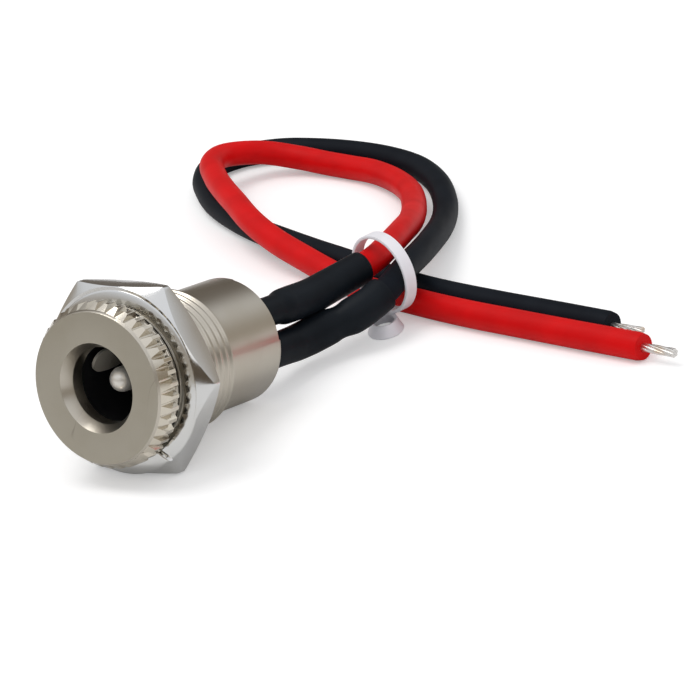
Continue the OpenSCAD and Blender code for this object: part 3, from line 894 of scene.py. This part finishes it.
def strands(name, count, bundle_r, strand_r, length, turns):
    """A twisted bundle that stands on the origin, along Z."""
    values = {"Strands": count, "Bundle radius": bundle_r * MM, "Strand radius": strand_r * MM,
              "Length": length * MM, "Turns": turns}
    tree, sizes = geometry_tree(name + "_rule", values)
    ring = tree.add("GeometryNodeMeshCircle", {}, {
        "Vertices": sizes["Strands"], "Radius": sizes["Bundle radius"]})
    middle = tree.add("GeometryNodeMeshLine", {}, {"Count": 1})
    places = tree.add("GeometryNodeJoinGeometry", {}, {"Geometry": ring})
    tree.tree.links.new(middle.socket, places.socket.node.inputs[0])
    top = tree.add("ShaderNodeCombineXYZ", {}, {"Z": sizes["Length"]})
    line = tree.add("GeometryNodeCurvePrimitiveLine", {}, {"End": top})
    line = tree.add("GeometryNodeResampleCurve", {}, {"Curve": line, "Count": 16})
    rim = tree.add("GeometryNodeCurvePrimitiveCircle", {}, {
        "Resolution": 10, "Radius": sizes["Strand radius"]})
    strand = tree.add("GeometryNodeCurveToMesh", {}, {
        "Curve": line, "Profile Curve": rim, "Fill Caps": True})
    bundle = tree.add("GeometryNodeInstanceOnPoints", {}, {"Points": places, "Instance": strand})
    real = tree.add("GeometryNodeRealizeInstances", {}, {"Geometry": bundle})
    spot = tree.add("GeometryNodeInputPosition")
    split = tree.add("ShaderNodeSeparateXYZ", {}, {"Vector": spot})
    height = Value(tree, split.socket.node.outputs["Z"])
    wound = tree.add("ShaderNodeVectorRotate", {"rotation_type": "Z_AXIS"}, {
        "Vector": spot, "Angle": height / sizes["Length"] * sizes["Turns"] * (2 * math.pi)})
    moved = tree.add("GeometryNodeSetPosition", {}, {"Geometry": real, "Position": wound})
    shown = tree.add("GeometryNodeSetMaterial", {}, {"Geometry": moved, "Material": strand_tin})
    tree.add("NodeGroupOutput", {}, {"Geometry": shown})
    return grown(name, tree, values, 40)


# %% Strands at the ends of the leads


def heading_at_end(run):
    h = run[-1] - run[-4]
    return h / np.linalg.norm(h)


def laid(piece, start, heading, degrees=0):
    """Moves a bundle's mesh from the origin to a lead's end, turned level by some degrees."""
    way = Matrix.Rotation(math.radians(degrees), 3, "Z") @ Vector(heading)
    turned_there = way.to_track_quat("Z", "Y").to_matrix().to_4x4()
    piece.data.transform(Matrix.Translation(Vector(start) * MM) @ turned_there)
    return piece


sunk = 0.2
red_heading, black_heading = heading_at_end(red_run), heading_at_end(black_run)
red_tip = laid(strands("red_strands", 6, 0.25, 0.15, 3.6, 0.35),
               red_run[-1] - red_heading * sunk, red_heading)
fork = [laid(strands(f"black_strands_{i}", 6, 0.17, 0.11, 3.5, 0.35),
             black_run[-1] - black_heading * sunk, black_heading, swing)
        for i, swing in enumerate((3, -8))]
with bpy.context.temp_override(active_object=fork[0], selected_editable_objects=fork):
    bpy.ops.object.join()
black_tip = fork[0]
black_tip.name = "black_strands"

# %% [markdown]
# ## The tie
#
# The tie is a flat plastic band: an upright ring round the two rising leads, and a small eye
# that the ring stands on. The eye's band leans in towards its top. Both are one flat section
# swept round a closed run, and only the way of the band's width differs.
# %% Tie
band_w, band_t = 1.2, 0.3
section = [(-0.5, -0.3), (-0.46, -0.5), (0.46, -0.5), (0.5, -0.3),
           (0.5, 0.3), (0.46, 0.5), (-0.46, 0.5), (-0.5, 0.3)]


def band(name, run, width_way):
    """A closed flat band along a run. width_way gives the way its width points at each place."""
    ahead = np.roll(run, -1, 0) - np.roll(run, 1, 0)
    ahead /= np.linalg.norm(ahead, axis=1)[:, None]
    out = np.cross(ahead, width_way)
    rows = [[p + o * t * band_t + v * w * band_w for w, t in section]
            for p, o, v in zip(run, out, width_way)]
    return skin(name, rows, loop=True, sharp=50)


def level(degrees):
    """A level direction, turned from X towards Y."""
    a = math.radians(degrees)
    return np.array((math.cos(a), math.sin(a), 0))


angles = np.linspace(0, 2 * np.pi, 96, endpoint=False)[:, None]
up = np.array((0, 0, 1.0))
ring_r, ring_turn = 3.35 + band_t / 2, -16
ring_centre = over_floor((4.7, 32.5, band_w + ring_r))
ring_run = ring_centre + ring_r * (np.cos(angles) * level(ring_turn) + np.sin(angles) * up)
tie_ring = band("tie_ring", ring_run, np.tile(level(ring_turn + 90), (96, 1)))

eye_slope, eye_short, eye_long = math.radians(24), 1.25, 1.8
short_way, long_way = np.cos(angles) * level(32), np.sin(angles) * level(122)
eye_way = short_way + long_way
eye_run = (over_floor((5.15, 30.62, band_w / 2 * math.cos(eye_slope)))
           + eye_short * short_way + eye_long * long_way)
tie_eye = band("tie_eye", eye_run, up * math.cos(eye_slope) - eye_way * math.sin(eye_slope))
for piece in (tie_ring, tie_eye):
    dress(piece, tie_white)

# %% [markdown]
# ## Finishes of the pieces that come straight from CAD
#
# The moulded and stamped pieces inside already have their true shape, so they only need
# their materials.
# %% Dress the CAD nodes
for name, finish in {
        "insulator_body": black_nylon, "rear_plug": black_nylon, "sleeve_contact": tinned_sheet,
        "centre_terminal": tinned_sheet, "red_joint_core": strand_tin, "black_joint_core": strand_tin,
        "red_solder": solder, "black_solder": solder}.items():
    dress(nodes_by_name[name], finish)

# %% [markdown]
# ## What rides on what
#
# Everything but the nut and its washer is fixed to the jack. The nut can be screwed along
# the barrel, and the washer goes with it. The shown pieces stand for their plain CAD solids,
# which stay for collision.
# %% Ride, replace and declare
for piece in (housing_piece, knurl, thread, pin, red_lead, black_lead, red_sleeve, black_sleeve,
              red_tip, black_tip, tie_ring, tie_eye):
    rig.ride(piece, "jack")
for piece in (nut, washer):
    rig.ride(piece, "nut")
for piece, slot in (
        (housing_piece, "housing_nickel"), (knurl, "housing_nickel"), (thread, "housing_nickel"),
        (nut, "nut_nickel"), (washer, "nut_nickel"), (pin, "pin_nickel"),
        (red_lead, "red_insulation"), (black_lead, "black_insulation"),
        (red_sleeve, "black_shrink"), (black_sleeve, "black_shrink"),
        (red_tip, "tinned_copper"), (black_tip, "tinned_copper"),
        (tie_ring, "white_band"), (tie_eye, "white_band")):
    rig.slot(piece, slot)
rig.replaces(housing_piece, "housing")
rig.replaces(nut, "panel_nut")
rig.replaces(pin, "centre_pin")
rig.replaces(red_lead, "red_wire")
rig.replaces(black_lead, "black_wire")
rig.replaces(red_sleeve, "red_sleeve")
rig.replaces(black_sleeve, "black_sleeve")
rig.replaces(red_tip, "red_bare_end")
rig.replaces(black_tip, "black_bare_end")
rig.replaces(tie_ring, "wire_tie")
for piece, run, extras in ((red_lead, red_run, [red_sleeve, red_tip]),
                           (black_lead, black_run, [black_sleeve, black_tip])):
    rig.cord(piece, exit=tuple(run[0] * MM), length=along_run(run)[-1] * MM, diameter=2 * wire_r * MM,
            far_end="bare", stiffness="limp", lay="loose", path=run * MM, with_pieces=extras)

# %% [markdown]
# ## Floor and light
#
# The jack lies on a white sheet in soft light. For camera rays alone the sheet glows a
# little and the world is plain white, which makes a clean ground without washing out the
# colours. Polished metal is drawn by what it mirrors, so mirror rays see a room instead: a
# bright top, and a darker, warmer band near the horizon. A dark side where the viewer stands
# and a dark far corner give polished edges their brown accents, and keep black plastic black
# where it is seen at a low angle.
# %% Floor
bpy.ops.mesh.primitive_circle_add(vertices=96, radius=0.42, fill_type="NGON", location=(0, 0.02, floor_z))
floor = bpy.context.active_object
floor.name = "floor"


def sheet(t):
    seen = t.add("ShaderNodeLightPath", out="Is Camera Ray")
    diffuse = t.add("ShaderNodeBsdfDiffuse", {}, {"Color": (0.82, 0.82, 0.82, 1)})
    glow = t.add("ShaderNodeEmission", {}, {"Color": (1, 1, 1, 1), "Strength": seen * 0.3})
    return t.add("ShaderNodeAddShader", {}, {0: diffuse, 1: glow})


dress(floor, material("white_sheet", sheet))
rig.stage(floor)

# %% World
world = bpy.data.worlds.new("studio")
world.use_nodes = True
world.node_tree.nodes.clear()
w = Tree(world.node_tree)
direction = w.add("ShaderNodeTexCoord", out="Generated")
height = w.dot(direction, (0, 0, 1))
room = w.add("ShaderNodeValToRGB", {"stops": [
    (0.0, (0.34, 0.3, 0.25, 1)), (0.5, (0.42, 0.38, 0.32, 1)), (0.6, (0.4, 0.36, 0.31, 1)),
    (0.72, (0.78, 0.8, 0.83, 1)), (1.0, (0.95, 0.96, 1.0, 1))]}, {"Fac": height * 0.5 + 0.5})
behind_viewer = w.dot(direction, (0.7, -0.7, 0.1)).ease(0.8, 0.93)
room = w.mix(behind_viewer, room, (0.1, 0.075, 0.05, 1))
dark_corner = w.dot(direction, (-0.52, 0.79, 0.32)).ease(0.72, 0.95)
room = w.mix(dark_corner, room, (0.16, 0.14, 0.12, 1))
path_camera = w.add("ShaderNodeLightPath", out="Is Camera Ray")
path_glossy = w.add("ShaderNodeLightPath", out="Is Glossy Ray")
plain = w.mix(path_glossy, (0.76, 0.76, 0.77, 1), room)
w.add("ShaderNodeOutputWorld", {}, {"Surface": w.add(
    "ShaderNodeBackground", {}, {"Color": w.mix(path_camera, plain, (1, 1, 1, 1))})})
bpy.context.scene.world = world

# %% Lamps


def softbox(name, place, size, power, colour=(1, 1, 1)):
    data = bpy.data.lights.new(name, "AREA")
    data.shape, data.size, data.energy, data.color = "DISK", size, power, colour
    lamp = bpy.data.objects.new(name, data)
    bpy.context.collection.objects.link(lamp)
    lamp.location = place
    lamp.rotation_euler = (-Vector(place)).to_track_quat("-Z", "Y").to_euler()
    return lamp


softbox("key", (-0.15, -0.05, 0.5), 0.3, 0.8, (1, 0.99, 0.97))
softbox("fill", (0.45, -0.35, 0.3), 0.3, 0.25, (0.95, 0.97, 1))

# %% View settings and sizes
bpy.context.scene.view_settings.view_transform = "Standard"
low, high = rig.bounds()
with open("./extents.json", "w") as f:
    json.dump({"cad": [list(cad_low), list(cad_high)], "visual": [list(low), list(high)]}, f)
